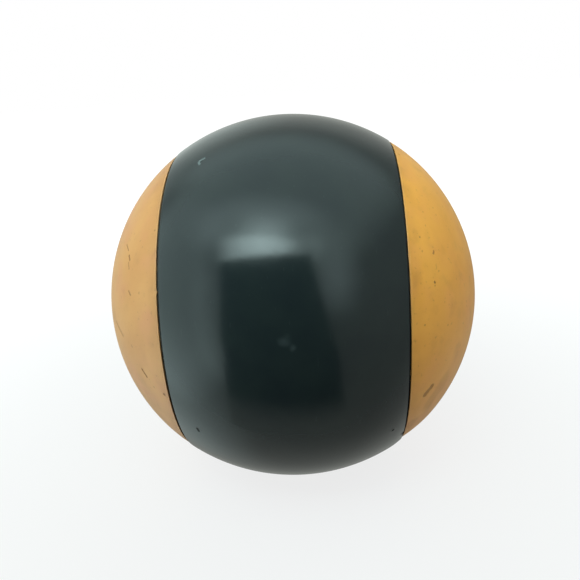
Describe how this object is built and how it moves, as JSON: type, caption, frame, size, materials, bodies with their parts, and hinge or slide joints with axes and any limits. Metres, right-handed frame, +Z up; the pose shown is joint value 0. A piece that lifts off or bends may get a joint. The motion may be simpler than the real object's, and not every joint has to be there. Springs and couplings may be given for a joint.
{
  "type": "croquet ball",
  "caption": "Solid croquet ball with a dark green centre band between two ochre caps, black jointing in the seams and a cork composition core.",
  "frame": {"origin": "the ball's centre", "axes": "+X along the axis that the ball is turned on, through the middle of the right cap; +Z up; +Y from the front to the back"},
  "size_m": [0.0924, 0.0918, 0.0918],
  "materials": {
    "caps": "satin, worn, with small nicks and specks",
    "band": "semi-gloss, lightly scuffed",
    "jointing": "matt black filler",
    "core": "moulded cork granules, matt"
  },
  "bodies": {
    "root": {"left_cap": "caps", "right_cap": "caps", "centre_band": "band", "left_joint_ring": "jointing", "right_joint_ring": "jointing", "core": "core"}
  },
  "joints": []
}
